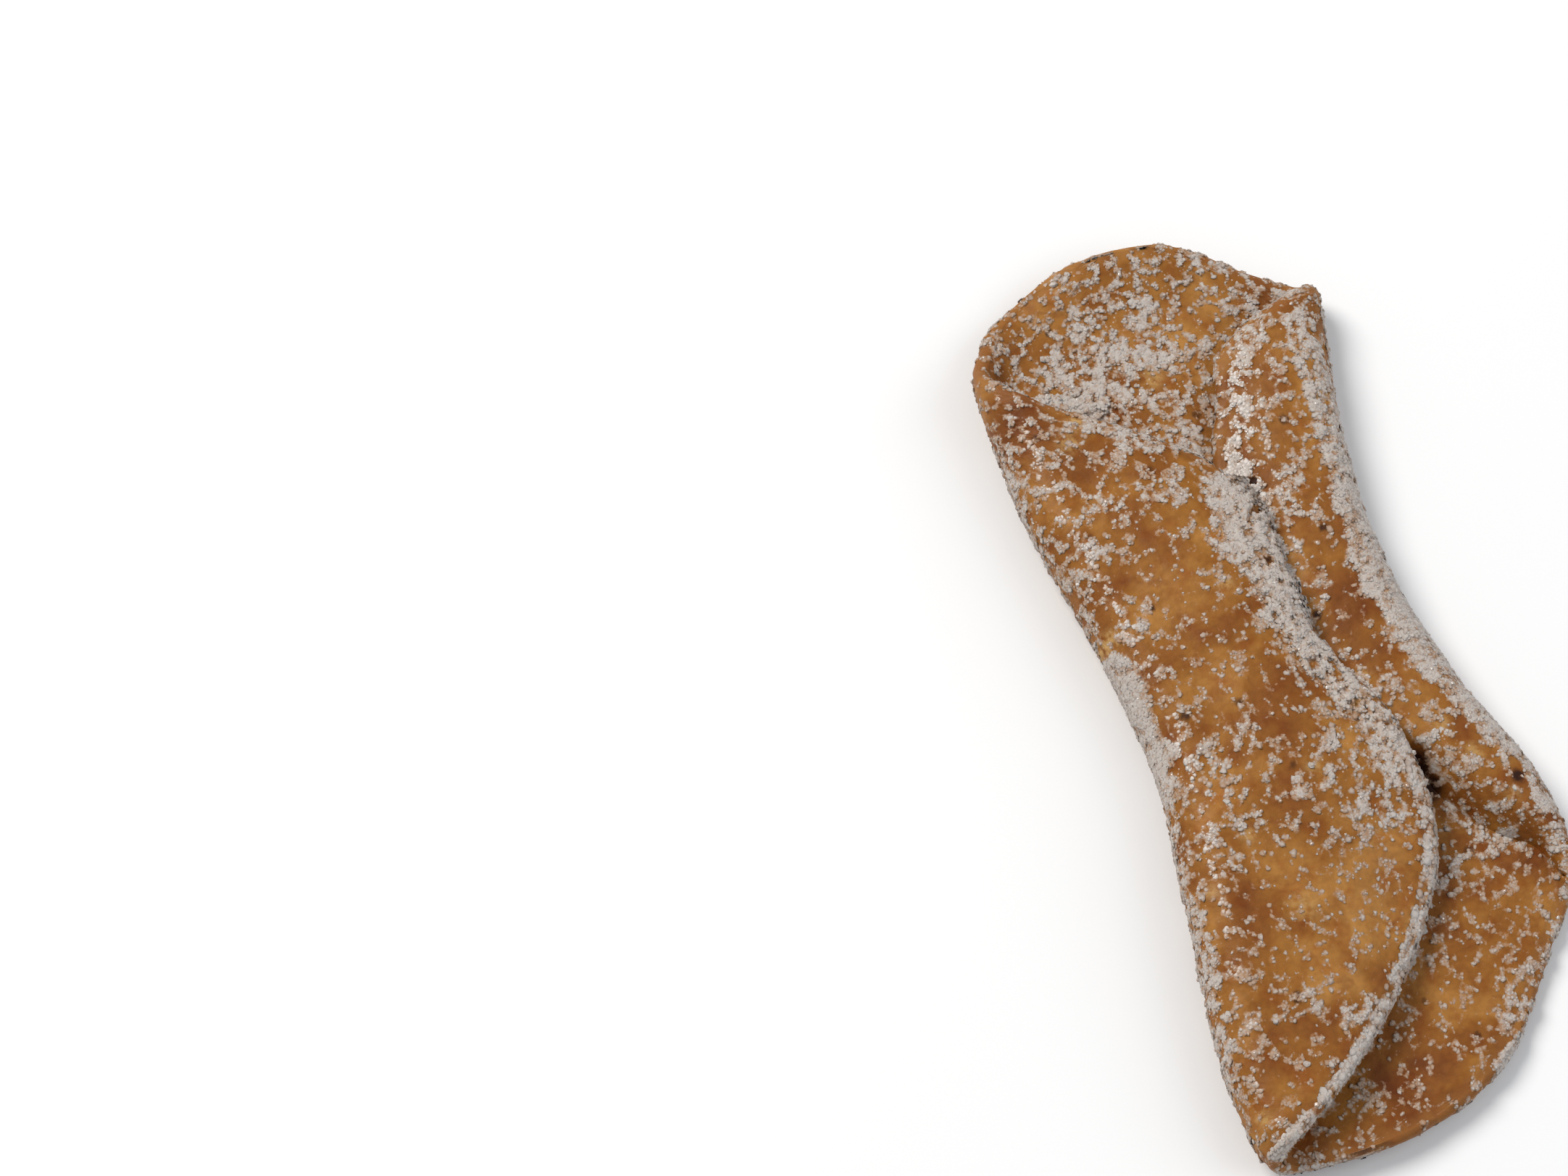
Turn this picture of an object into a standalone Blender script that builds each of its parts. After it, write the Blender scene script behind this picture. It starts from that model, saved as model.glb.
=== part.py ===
"""A pestino: a thin oval of dough whose two long sides are folded in, the left over the right, fried
until it stiffens and rolled in coarse sugar.

Metres, +Z up.  +Y runs along the folds, the deeper lobe at +Y, and the piece lies on z = 0.
The dough is laid out flat, with u across and v along, and fold() then carries every point of the flat
sheet to its place in the folded piece.
"""

import math
import random

import bmesh
import bpy
from mathutils import Euler, Matrix, Vector, geometry, kdtree, noise
from mathutils.bvhtree import BVHTree

MM = 0.001

# The rolled-out sheet.
HALF_LENGTH = 50.6 * MM
THICKNESS = 2.4 * MM
EDGE_THINNING = 0.72          # share of the thickness that the cut edge keeps
EDGE_BAND = 1.3 * MM          # width of the strip along the cut edge over which the sheet thins
EDGE_ROUNDING = 0.5 * MM      # how far the middle of the cut edge stands out
TIP_LOW = -11.0               # mm, where the sheet's two ends lie across
TIP_HIGH = -2.8

# How far the sheet reaches from its middle line, as the half-width of the oval that passes there:
# (station along the length, half-width), both in mm.
REACH_LEFT = [(-51, 28), (-42, 36.2), (-24, 38.8), (-8, 33.5), (3, 31.5), (17, 40), (24, 41), (33, 33.5),
              (37, 32), (41, 31), (45, 33), (51, 33)]
REACH_RIGHT = [(-51, 47.5), (-44, 42), (-38, 38.4), (-31, 38), (-26, 40.8), (-20, 45.5), (-8, 41), (2, 38),
               (15, 35), (29, 39), (37, 43.5), (43, 31), (48, 26), (51, 26)]

# The outer faces of the two folds: (station, place across), in mm.
FACE_LEFT = [(-52, -16.5), (-40, -17.8), (-24, -16.8), (-8, -15.8), (6, -17.8), (20, -20.9), (32, -22.4),
             (40, -23), (52, -23.4)]
FACE_RIGHT = [(-52, 24), (-30, 23.4), (-22, 23.1), (-16, 21.7), (-8, 18.3), (3, 15), (14, 13.5), (24, 14),
              (34, 15.4), (42, 16.8), (52, 19)]

# Fold radii at the middle of the dough, in mm.
RADIUS_LEFT = [(-52, 2.4), (-44, 2.6), (-30, 3.0), (-20, 3.15), (20, 3.15), (32, 3.3), (36, 4.0), (40, 5.6),
               (46, 7.5), (52, 8.0)]
RADIUS_RIGHT = [(-52, 1.8), (-24, 1.9), (-12, 2.1), (20, 2.15), (40, 2.3), (52, 2.3)]

# How far each flap comes down from the top of its fold once it has reached in by its settling length, as
# the height left there at the middle of the dough, in mm: the left flap rides over the right one at the
# waist and sinks towards the lobes.
HEIGHT_LEFT = [(-52, 3.9), (-40, 4.2), (-28, 4.6), (-21, 5.7), (-14, 6.95), (19, 6.95), (26, 5.6), (36, 4.6),
               (52, 4.6)]
HEIGHT_RIGHT = [(-52, 3.95), (-22, 3.95), (34, 3.95), (44, 4.4), (52, 4.6)]
SETTLING_LEFT = 19 * MM
SETTLING_RIGHT = 10 * MM
CROWN_LEFT = 0.9 * MM         # how far each flap swells above its slope
CROWN_RIGHT = 0.35 * MM
# The lower end of the right flap is pressed down on the lobe and thins out there: how firmly, by station.
PRESSED = [(-52, 0), (-29, 0), (-20, 1), (-17, 1), (-9, 0), (52, 0)]
PRESSED_BAND = 6.5 * MM       # how far in from the flap's edge it slopes down
PRESSED_HEIGHT = 2.9 * MM     # middle of the dough at the pressed edge
PRESSED_THICKNESS = 0.33      # share of the thickness left there

# The two lobes are shallow dishes: their rims lift from these stations outwards.
DISH_HIGH = (36 * MM, 2.6 * MM)
DISH_LOW = (36 * MM, 1.5 * MM)

# Spacing of the points laid over the flat sheet.
RIM_STEP = 1.9 * MM
ROW_STEP = 2.3 * MM
BASE_STEP = 3.0 * MM
FLAP_STEP = 2.7 * MM
FOLD_STEPS = 7                # columns round each fold
RIM_SAMPLES = 1440
RIM_CLEARANCE = 1.1 * MM
PROBE = 0.02 * MM             # half the distance over which a slope is measured
SAME_POINT = 1e-7
INSIDE_LOOP = 1               # keeps the triangles that lie inside the cut edge

# Unevenness of the fried dough.
SWELL = 0.32 * MM
SWELL_LENGTH = 13 * MM
RAGGED = 0.35 * MM            # of the cut edge
RAGGED_LENGTH = 7 * MM

# The largest lumps of sugar, fused to the dough.
SEED = 16
LUMPS_ABOVE = 92
LUMPS_ON_WALLS = 18
LUMP_SIZES = (0.6 * MM, 1.05 * MM)
LUMP_STRETCH = (0.75, 1.1)
LUMP_SUNK = 0.42              # share of its size below the surface
LUMP_GAP = 2.3 * MM           # least distance between two lumps
EDGE_DRIFT = (-3.2 * MM, 1.6 * MM)   # sugar gathered along the left flap's free edge
WALL_DRIFT = 3.0 * MM         # and along the outer faces
DISH_FROM = 27 * MM           # and in the upper lobe
CHANCE_ON_EDGE = 1.0
CHANCE_IN_DRIFTS = 0.75
CHANCE_ELSEWHERE = 0.2
WALL_HEIGHTS = (1.8 * MM, 5.5 * MM)
WALL_STATIONS = (-43 * MM, 38 * MM)

DOUGH_COLOUR = (0.31, 0.13, 0.035)
DOUGH_ROUGHNESS = 0.55
SUGAR_COLOUR = (0.62, 0.55, 0.49)
SUGAR_ROUGHNESS = 0.35


def through(stations, y):
    """A smooth curve through (station, value) pairs: cubic between neighbours, in metres in and out."""
    y = y / MM
    last = len(stations) - 1
    if y <= stations[0][0]:
        return stations[0][1] * MM
    if y >= stations[last][0]:
        return stations[last][1] * MM
    k = next(i for i in range(last) if y <= stations[i + 1][0])

    def slope(i):
        a, b = stations[max(i - 1, 0)], stations[min(i + 1, last)]
        return (b[1] - a[1]) / (b[0] - a[0])

    (y0, x0), (y1, x1) = stations[k], stations[k + 1]
    span = y1 - y0
    t = (y - y0) / span
    value = ((2 * t - 3) * t * t + 1) * x0 + (3 - 2 * t) * t * t * x1
    value += span * t * (t - 1) * ((t - 1) * slope(k) + t * slope(k + 1))
    return value * MM


def ease(t):
    """0 to 1, level at both ends."""
    t = min(max(t, 0.0), 1.0)
    return t * t * (3 - 2 * t)


def uneven(u, v, length, height):
    """A slow random rise and fall over the sheet."""
    return height * noise.noise(Vector((u, v, 0.0)) / length)


def middle(v):
    """Where the sheet's middle line lies across at station v."""
    share = (v / HALF_LENGTH + 1) / 2
    return (TIP_LOW + (TIP_HIGH - TIP_LOW) * share) * MM


def reach(v, stations, sign):
    """The sheet's edge on one side, at station v."""
    round_off = math.sqrt(max(1 - (v / HALF_LENGTH) ** 2, 0.0))
    half = through(stations, v) + uneven(sign * HALF_LENGTH, v, RAGGED_LENGTH, RAGGED)
    return middle(v) + sign * half * round_off


class Side:
    """One long side of the sheet: its fold and its flap."""

    def __init__(self, sign, face, radius, stations, height, settling, crown):
        self.sign = sign
        self.face = face
        self.radius_stations = radius
        self.stations = stations
        self.height = height
        self.settling = settling
        self.crown = crown

    def radius(self, v):
        return through(self.radius_stations, v)

    def start(self, v):
        """Where the sheet begins to turn up, as a distance from x = 0."""
        return self.sign * through(self.face, v) - self.radius(v) - THICKNESS / 2

    def flap(self, v):
        """Length of sheet beyond the start of the fold."""
        return self.sign * reach(v, self.stations, self.sign) - self.start(v)


LEFT = Side(-1, FACE_LEFT, RADIUS_LEFT, REACH_LEFT, HEIGHT_LEFT, SETTLING_LEFT, CROWN_LEFT)
RIGHT = Side(1, FACE_RIGHT, RADIUS_RIGHT, REACH_RIGHT, HEIGHT_RIGHT, SETTLING_RIGHT, CROWN_RIGHT)


def spaced(low, high, step):
    """Values from low to high at about the given step, both ends left out."""
    count = max(round((high - low) / step), 1)
    return [low + (high - low) * k / count for k in range(1, count)]


def rim_loop():
    """The sheet's cut edge, round once, at even steps."""
    fine = []
    for k in range(RIM_SAMPLES):
        turn = math.tau * k / RIM_SAMPLES
        v = HALF_LENGTH * math.sin(turn)
        side = RIGHT if math.cos(turn) > 0 else LEFT
        fine.append(Vector((reach(v, side.stations, side.sign), v)))
    fine.append(fine[0])
    lengths = [(b - a).length for a, b in zip(fine, fine[1:])]
    count = round(sum(lengths) / RIM_STEP)
    step = sum(lengths) / count
    loop, walked = [], 0.0
    for start, length, end in zip(fine, lengths, fine[1:]):
        while len(loop) < count and len(loop) * step <= walked + length:
            loop.append(start.lerp(end, (len(loop) * step - walked) / length))
        walked += length
    return loop


def drawn_in(loop, width):
    """The same loop, moved in by a width."""
    inner = []
    for k, point in enumerate(loop):
        along = (loop[(k + 1) % len(loop)] - loop[k - 1]).normalized()
        inner.append(point + Vector((-along.y, along.x)) * width)
    return inner


def columns(v):
    """Places across the sheet at station v, close together round the folds and wider apart between them.
    Those round a fold are named, so that each can be joined to the next row's.
    """
    places = [(None, u) for u in spaced(-LEFT.start(v), RIGHT.start(v), BASE_STEP)]
    for side in (LEFT, RIGHT):
        begin, turn = side.start(v), math.pi * side.radius(v)
        for k in range(FOLD_STEPS + 1):
            places.append(((side.sign, k), side.sign * (begin + turn * k / FOLD_STEPS)))
        if side.flap(v) > turn:
            places += [(None, side.sign * u) for u in spaced(begin + turn, begin + side.flap(v), FLAP_STEP)]
    return places


def flat_sheet():
    """Points over the flat sheet and the triangles between them; the cut edge comes first."""
    rim = rim_loop()
    points = rim + drawn_in(rim, EDGE_BAND)
    edge = kdtree.KDTree(len(points))
    for k, point in enumerate(points):
        edge.insert(point.to_3d(), k)
    edge.balance()
    row_below, creases = {}, []
    for v in spaced(-HALF_LENGTH, HALF_LENGTH, ROW_STEP):
        low, high = reach(v, LEFT.stations, -1), reach(v, RIGHT.stations, 1)
        row = {}
        for column, u in columns(v):
            clear = edge.find(Vector((u, v, 0)))[2]
            if low < u < high and clear > RIM_CLEARANCE:
                row[column] = len(points)
                points.append(Vector((u, v)))
        creases += [(row_below[c], row[c]) for c in row if c and c in row_below]
        row_below = row
    loop = list(range(len(rim)))
    verts, _, faces, *_ = geometry.delaunay_2d_cdt(points, creases, [loop], INSIDE_LOOP, SAME_POINT)
    return verts, faces, len(rim)


def base_height(v):
    """Middle of the dough where it isn't folded: level, with the two lobes' rims lifted."""
    start, rise = DISH_HIGH if v > 0 else DISH_LOW
    past = max((abs(v) - start) / (HALF_LENGTH - start), 0.0)
    return THICKNESS / 2 + rise * past * past


def pressed(u, v):
    """How far a point of the flat sheet is pressed down on the lobe, 0 to 1."""
    beyond = u - RIGHT.start(v)
    turned = 2 * beyond / (math.pi * RIGHT.radius(v)) - 1
    if turned <= 0:
        return 0.0
    firm = min(max(through(PRESSED, v) / MM, 0.0), 1.0)
    return firm * ease(turned) * ease(1 - (RIGHT.flap(v) - beyond) / PRESSED_BAND)


def fold(u, v):
    """Carries a point of the flat sheet to its place in the folded piece."""
    side = LEFT if u < 0 else RIGHT
    down = pressed(u, v)
    ground = base_height(v)
    beyond = abs(u) - side.start(v)
    if beyond <= 0:
        return Vector((u, v, ground))
    radius = side.radius(v)
    turn = math.pi * radius
    swell = uneven(u, v, SWELL_LENGTH, SWELL)
    if beyond <= turn:
        angle = beyond / radius
        x = side.start(v) + radius * math.sin(angle)
        z = ground + (radius + swell / 2) * (1 - math.cos(angle))
        return Vector((side.sign * x, v, z + (PRESSED_HEIGHT - z) * down))
    along = beyond - turn
    share = min(along / side.settling, 1.0)
    top = 2 * radius
    low = through(side.height, v) - THICKNESS / 2
    crown = side.crown * math.sin(math.pi * share) ** 2
    z = ground + top + (low - top) * ease(share) + crown + swell
    return Vector((side.sign * (side.start(v) - along), v, z + (PRESSED_HEIGHT - z) * down))


def facing(u, v):
    """Which way the sheet's upper face points, at the folded place of a flat point."""
    du = fold(u + PROBE, v) - fold(u - PROBE, v)
    dv = fold(u, v + PROBE) - fold(u, v - PROBE)
    return du.cross(dv).normalized()


def material(name, colour, roughness):
    made = bpy.data.materials.new(name)
    made.use_nodes = True
    shader = made.node_tree.nodes["Principled BSDF"]
    shader.inputs["Base Color"].default_value = (*colour, 1.0)
    shader.inputs["Roughness"].default_value = roughness
    shader.inputs["Metallic"].default_value = 0.0
    return made


def lump(rng, name, place, outwards, size):
    """One lump of sugar, partly sunk in the dough."""
    shape = bmesh.new()
    bmesh.ops.create_icosphere(shape, subdivisions=1, radius=size)
    stretch = Matrix.Diagonal([rng.uniform(*LUMP_STRETCH) for _ in range(3)]).to_4x4()
    turn = Euler([rng.uniform(0, math.tau) for _ in range(3)]).to_matrix().to_4x4()
    centre = Matrix.Translation(place + outwards * size * (1 - 2 * LUMP_SUNK))
    bmesh.ops.transform(shape, matrix=centre @ turn @ stretch, verts=shape.verts)
    mesh = bpy.data.meshes.new(name)
    shape.to_mesh(mesh)
    shape.free()
    mesh.materials.append(material("sugar", SUGAR_COLOUR, SUGAR_ROUGHNESS))
    return bpy.data.objects.new(name, mesh)


def sugared(point):
    """How likely a lump is to lie at a point seen from above, 0 to 1."""
    free_edge = fold(reach(point.y, LEFT.stations, -1), point.y).x
    if EDGE_DRIFT[0] < point.x - free_edge < EDGE_DRIFT[1]:
        return CHANCE_ON_EDGE
    left, right = through(FACE_LEFT, point.y), through(FACE_RIGHT, point.y)
    if point.y > DISH_FROM or point.x < left + WALL_DRIFT or point.x > right - WALL_DRIFT:
        return CHANCE_IN_DRIFTS
    return CHANCE_ELSEWHERE


def landing_places(rng, dough):
    """Where lumps land: dropped from above, then thrown at the two outer faces."""
    tree = BVHTree.FromObject(dough, bpy.context.evaluated_depsgraph_get())
    half_width = through(FACE_RIGHT, -HALF_LENGTH)
    found = []

    def try_ray(start, direction, chance):
        place, outwards, *_ = tree.ray_cast(start, direction)
        if place is None or rng.random() > chance(place):
            return
        if all((place - other).length > LUMP_GAP for other, _ in found):
            found.append((place, outwards))

    while len(found) < LUMPS_ABOVE:
        start = Vector((rng.uniform(-half_width, half_width), rng.uniform(-HALF_LENGTH, HALF_LENGTH), 1.0))
        try_ray(start, Vector((0, 0, -1)), sugared)
    while len(found) < LUMPS_ABOVE + LUMPS_ON_WALLS:
        sign = rng.choice((-1, 1))
        start = Vector((sign, rng.uniform(*WALL_STATIONS), rng.uniform(*WALL_HEIGHTS)))
        try_ray(start, Vector((-sign, 0, 0)), lambda place: CHANCE_ON_EDGE)
    return found


def fuse_sugar(dough):
    """Joins the lumps to the dough by one union and leaves a single body."""
    rng = random.Random(SEED)
    lumps = bpy.data.collections.new("lumps")
    bpy.context.scene.collection.children.link(lumps)
    for k, (place, outwards) in enumerate(landing_places(rng, dough)):
        lumps.objects.link(lump(rng, f"lump_{k}", place, outwards, rng.uniform(*LUMP_SIZES)))
    union = dough.modifiers.new("sugar", "BOOLEAN")
    union.operation = "UNION"
    union.operand_type = "COLLECTION"
    union.collection = lumps
    union.solver = "EXACT"
    bpy.context.view_layer.objects.active = dough
    for name in [modifier.name for modifier in dough.modifiers]:
        bpy.ops.object.modifier_apply(modifier=name)
    for obj in list(lumps.objects):
        bpy.data.objects.remove(obj)
    bpy.data.collections.remove(lumps)


def dough_sheet(name):
    """The folded sheet: an upper face, a lower face and a rounded cut edge between them."""
    points, triangles, rim_count = flat_sheet()
    count = len(points)
    upper, lower = [], []
    for k, (u, v) in enumerate(points):
        half = THICKNESS / 2 * (EDGE_THINNING if k < rim_count else 1.0)
        half *= 1 - (1 - PRESSED_THICKNESS) * pressed(u, v)
        place, outwards = fold(u, v), facing(u, v)
        upper.append(place + outwards * half)
        lower.append(place - outwards * half)
    edge = []
    for k in range(rim_count):
        along = (points[(k + 1) % rim_count] - points[k - 1]).normalized()
        u, v = points[k]
        beyond = fold(u + along.y * PROBE, v - along.x * PROBE) - fold(u, v)
        edge.append(fold(u, v) + beyond.normalized() * EDGE_ROUNDING)
    faces = [tuple(face) for face in triangles]
    faces += [tuple(count + k for k in reversed(face)) for face in triangles]
    for k in range(rim_count):
        after = (k + 1) % rim_count
        faces.append((after, k, 2 * count + k, 2 * count + after))
        faces.append((2 * count + after, 2 * count + k, count + k, count + after))
    mesh = bpy.data.meshes.new(name)
    mesh.from_pydata(upper + lower + edge, [], faces)
    mesh.materials.append(material("fried_dough", DOUGH_COLOUR, DOUGH_ROUGHNESS))
    dough = bpy.data.objects.new(name, mesh)
    bpy.context.scene.collection.objects.link(dough)
    return dough


def main():
    for old in list(bpy.data.objects):
        bpy.data.objects.remove(old)
    fuse_sugar(dough_sheet("pestino"))


main()
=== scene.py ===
"""The looks of the pestino: folded fried dough, blistered and unevenly browned, crusted with milky sugar.

Metres, +Z up.  +Y runs along the folds towards the deeper lobe, and the piece lies on z = 0.
"""

import math
import random
from collections import namedtuple

import bpy
import numpy as np
from mathutils import Matrix, Vector, noise
from mathutils.bvhtree import BVHTree


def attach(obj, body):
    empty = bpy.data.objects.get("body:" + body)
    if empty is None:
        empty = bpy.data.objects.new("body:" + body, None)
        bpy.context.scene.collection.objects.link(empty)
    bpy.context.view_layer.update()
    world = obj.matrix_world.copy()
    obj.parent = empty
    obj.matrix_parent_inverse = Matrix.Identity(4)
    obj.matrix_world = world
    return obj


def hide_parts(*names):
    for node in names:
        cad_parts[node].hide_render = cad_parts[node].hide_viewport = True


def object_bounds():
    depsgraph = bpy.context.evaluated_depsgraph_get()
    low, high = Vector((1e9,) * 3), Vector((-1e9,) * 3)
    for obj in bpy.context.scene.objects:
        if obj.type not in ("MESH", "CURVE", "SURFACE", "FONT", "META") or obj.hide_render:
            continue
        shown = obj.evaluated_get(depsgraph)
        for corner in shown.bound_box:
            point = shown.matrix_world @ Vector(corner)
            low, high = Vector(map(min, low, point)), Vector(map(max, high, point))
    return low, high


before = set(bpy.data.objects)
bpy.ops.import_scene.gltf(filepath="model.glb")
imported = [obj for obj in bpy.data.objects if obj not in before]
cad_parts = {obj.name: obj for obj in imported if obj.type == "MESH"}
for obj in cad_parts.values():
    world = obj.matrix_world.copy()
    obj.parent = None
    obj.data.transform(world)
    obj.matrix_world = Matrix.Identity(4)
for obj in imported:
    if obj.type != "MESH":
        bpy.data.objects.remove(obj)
CAD_LOW, CAD_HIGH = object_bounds()

MM = 0.001

# ---------------------------------------------------------------- the folded sheet, as in the solid
HALF_LENGTH = 50.6 * MM
THICKNESS = 2.4 * MM
EDGE_THINNING = 0.72          # share of the thickness that is left at the cut edge
EDGE_BAND = 1.3 * MM
EDGE_ROUNDING = 0.5 * MM
# The sheet's two ends, across, and along it how far its edges reach to either side.
TIP_LOW = -11.0
TIP_HIGH = -2.8
REACH_LEFT = [(-51, 28), (-42, 36.2), (-24, 38.8), (-8, 33.5), (3, 31.5), (17, 40), (24, 41), (33, 33.5),
              (37, 32), (41, 31), (45, 33), (51, 33)]
REACH_RIGHT = [(-51, 47.5), (-44, 42), (-38, 38.4), (-31, 38), (-26, 40.8), (-20, 45.5), (-8, 41), (2, 38),
               (15, 35), (29, 39), (37, 43.5), (43, 31), (48, 26), (51, 26)]
# Where the folds' outer sides lie, across, their radii, and the flaps' heights past the folds.
FACE_LEFT = [(-52, -16.5), (-40, -17.8), (-24, -16.8), (-8, -15.8), (6, -17.8), (20, -20.9), (32, -22.4),
             (40, -23), (52, -23.4)]
FACE_RIGHT = [(-52, 24), (-30, 23.4), (-22, 23.1), (-16, 21.7), (-8, 18.3), (3, 15), (14, 13.5), (24, 14),
              (34, 15.4), (42, 16.8), (52, 19)]
RADIUS_LEFT = [(-52, 2.4), (-44, 2.6), (-30, 3.0), (-20, 3.15), (20, 3.15), (32, 3.3), (36, 4.0), (40, 5.6),
               (46, 7.5), (52, 8.0)]
RADIUS_RIGHT = [(-52, 1.8), (-24, 1.9), (-12, 2.1), (20, 2.15), (40, 2.3), (52, 2.3)]
HEIGHT_LEFT = [(-52, 3.9), (-40, 4.2), (-28, 4.6), (-21, 5.7), (-14, 6.95), (19, 6.95), (26, 5.6), (36, 4.6),
               (52, 4.6)]
HEIGHT_RIGHT = [(-52, 3.95), (-22, 3.95), (34, 3.95), (44, 4.4), (52, 4.6)]
SETTLING_LEFT = 19 * MM       # over this width a flap comes down from its fold to its own height
SETTLING_RIGHT = 10 * MM
CROWN_LEFT = 0.9 * MM         # how far a flap arches up between
CROWN_RIGHT = 0.35 * MM
# The right flap's lower end, pressed down on the lobe: how firmly, along it.
PRESSED = [(-52, 0), (-30.5, 0), (-27, 1), (-15, 1), (-8, 0), (52, 0)]
PRESSED_BAND = 7.5 * MM
PRESSED_HEIGHT = 1.2 * MM     # lower than in the solid, so that the flap's end sinks into the lobe
PRESSED_THICKNESS = 0.33
# Soft hollows in the right flap: (from x, y, to x, y, half-width, depth), mm.
HOLLOWS = [(10.4, -12.5, 11.0, -17, 2.6, 2.3), (11.5, -17.5, 19, -22.5, 3.4, 0.8)]
DISH_HIGH = (36 * MM, 2.6 * MM)   # from this far along, a lobe's rim is lifted by this much
DISH_LOW = (36 * MM, 1.5 * MM)
SWELL = 0.32 * MM
SWELL_LENGTH = 13 * MM
RAGGED = 0.35 * MM
RAGGED_LENGTH = 7 * MM
PROBE = 0.02 * MM             # the step by which slopes are found

# The fine mesh of the dough.
CELLS_ACROSS = 250
CELLS_ALONG = 330
ROW_CROWDING = 0.94           # above 0, the rows of cells crowd towards the sheet's two ends
BLUNT = 0.9995                # the last row's share of the length, so that it isn't a point
EDGE_RINGS = 4
TYPICAL_REACH = 38 * MM
GRAIN_ROOM = 0.25 * MM        # left for grains between the dough and the solid's own box
EASED = 1.0 * MM              # over this distance the dough's outermost points are eased in

# Its relief: (texture, size of a feature, height).
RELIEF = [("CLOUDS", 5.0 * MM, 0.32 * MM), ("CLOUDS", 1.7 * MM, 0.12 * MM)]
RELIEF_FOOT = (0.3 * MM, 0.8 * MM)    # it starts at this height, and is full this much higher

# ---------------------------------------------------------------- browning, and shade painted into the hollows
# Darker or lighter than the rest, mostly browning, with some painted shade: (from x, y, to x, y, half-width,
# tone), mm, -1 red-brown to 1 golden.
TONES = [
    (-20.5, 42, -21.5, 30, 2.4, -0.5), (-10, 40, 3, 40, 9, 0.45), (8, 44, 15, 38, 4, -0.3),
    (-12, 30, -4, 30, 5, -0.1), (-12, 20, -11, 12, 5, 0.1), (-9, 8, -6, -3, 6, 0.3),
    (-15, 0, -14, -16, 3, -0.35), (-13, -26, -12.5, -37, 3.4, 0.35), (-7, -14, -5, -20, 4, 0.25),
    (-6, -25, -5, -31, 6, 0.9), (-13, -38, -5, -43, 5, -0.15), (-14, -48, -4, -49, 3, -0.5),
    (6.5, 16, 9, -2, 2.2, -0.45), (7, 30, 7, 22, 4, -0.1), (10, -10, 15, -14, 3, -0.15),
    (4, -37, 11, -37, 4.5, 0.35), (-1, -46, 9, -43, 3.8, -0.55), (14, -24, 18, -33, 5, 0.1),
    # Painted shade, not browning: on the next line, the stroke at -1.4 darkens the hollow in the right flap
    # and the one at -0.85 the crease along its lower end. On the line after it, the -0.6 stroke from (9, -21)
    # darkens the lobe just past the left flap's lower free edge.
    (19, -18, 20.5, -24, 1.6, -0.6), (10, -13, 10.8, -19, 2.2, -1.4), (11, -18.5, 20, -24.5, 4.4, -0.85),
    (9, -21, 8.6, -30, 2.0, -0.6),
]
# Scorched places, and dabs of near-black painted shadow: (x, y, radius, strength), mm.
SCORCHES_AND_PAINTED_SHADOWS = [
    (-18.5, 29.3, 0.55, 1), (-12.2, 8, 0.55, 1), (-12, -4.1, 0.7, 0.9), (-6.3, -4.2, 0.55, 0.8),
    (-9.4, -35, 0.8, 0.9), (4.9, 4.2, 0.6, 1), (19.5, -17.6, 0.9, 1), (-12.8, 43.3, 0.55, 1),
    # (1.6, 16.2), (1.2, 10.5) and (2.9, 20.4) are painted shadow in the pits of the drift, where the gap
    # under the left flap's edge shows.
    (-6.6, -50.6, 0.7, 0.9), (1.6, 16.2, 0.7, 1), (1.2, 10.5, 0.7, 1), (2.9, 20.4, 0.7, 1),
    (7.8, 26, 0.7, 0.8), (8.3, 13.3, 0.6, 0.9), (8, -41.7, 0.5, 0.8), (13.2, -23, 0.7, 0.7),
    # (10.5, -13.4) and (11.2, -15.8) are painted shadow deep in the hollow beside the left flap's edge.
    (10.5, -13.4, 1.7, 1.0), (11.2, -15.8, 1.6, 1.0), (-16, 17, 0.5, 0.6), (-3, -12, 0.5, 0.6),
    (4, -37, 0.45, 0.6), (15, -28, 0.45, 0.6), (-8, 23, 0.5, 0.6), (0, 30.5, 0.6, 0.7),
]
# Pale, flaky places: (x, y, radius, strength), mm.
FLAKES = [
    (-17.2, 6.0, 1.9, 0.9), (12.4, 28.4, 1.7, 0.8), (-4.1, 8.6, 1.5, 0.7), (-14.0, 30.2, 1.6, 0.9),
    (-15.4, 28.0, 1.9, 0.7), (7.4, -3.7, 1.5, 0.9), (5.5, -6.5, 1.4, 0.8), (-1.0, -12.4, 1.6, 0.6),
    (-9.4, -17.8, 1.4, 0.6), (-14.5, -22.4, 1.2, 0.6), (-16.0, -45.6, 1.2, 0.7), (15.8, -14.2, 1.6, 0.7),
    (18.4, -19.4, 1.2, 0.6), (13.6, -10.4, 1.4, 0.6), (-6.2, -26.2, 2.6, 0.5), (-3.5, 35.8, 2.0, 0.7),
]

# ---------------------------------------------------------------- the sugar
SEED = 16
CANDIDATES = 420000
# The noise that clumps the sugar: (length, share of soft blots, share of thin strings).
CLUMP_NOISE = [(2.6 * MM, 0.16, 0.08), (1.2 * MM, 0.34, 0.28), (0.65 * MM, 0.32, 0.22)]
STRING_SHIFT = (7, 3, 5)      # moves the strings' noise away from the blots'
STRING_MIDDLE = 0.4
RAGGED_RIMS = 0.24            # how far a clump's grains stray over its rim, in coverage
UPPER_FACE = 0.45             # a face whose normal rises more than this looks up; falling as much, down
OUTER_COVERAGE = 0.26         # of the upper faces, away from the strokes below
WALL_COVERAGE = 0.62
UNDER_COVERAGE = 0.16
# The lower part of the left flap's free edge is sugared more.
EDGE_TOP = -8 * MM            # it starts there and runs to the lower end
EDGE_REACH = 1.0 * MM
EDGE_COVERAGE = 0.80
EDGE_UNEVEN = (2.6 * MM, 0.55)    # how the coverage comes and goes along it: (length, rise)
EDGE_GROWTH = 0.35            # how much larger its grains are
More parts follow.
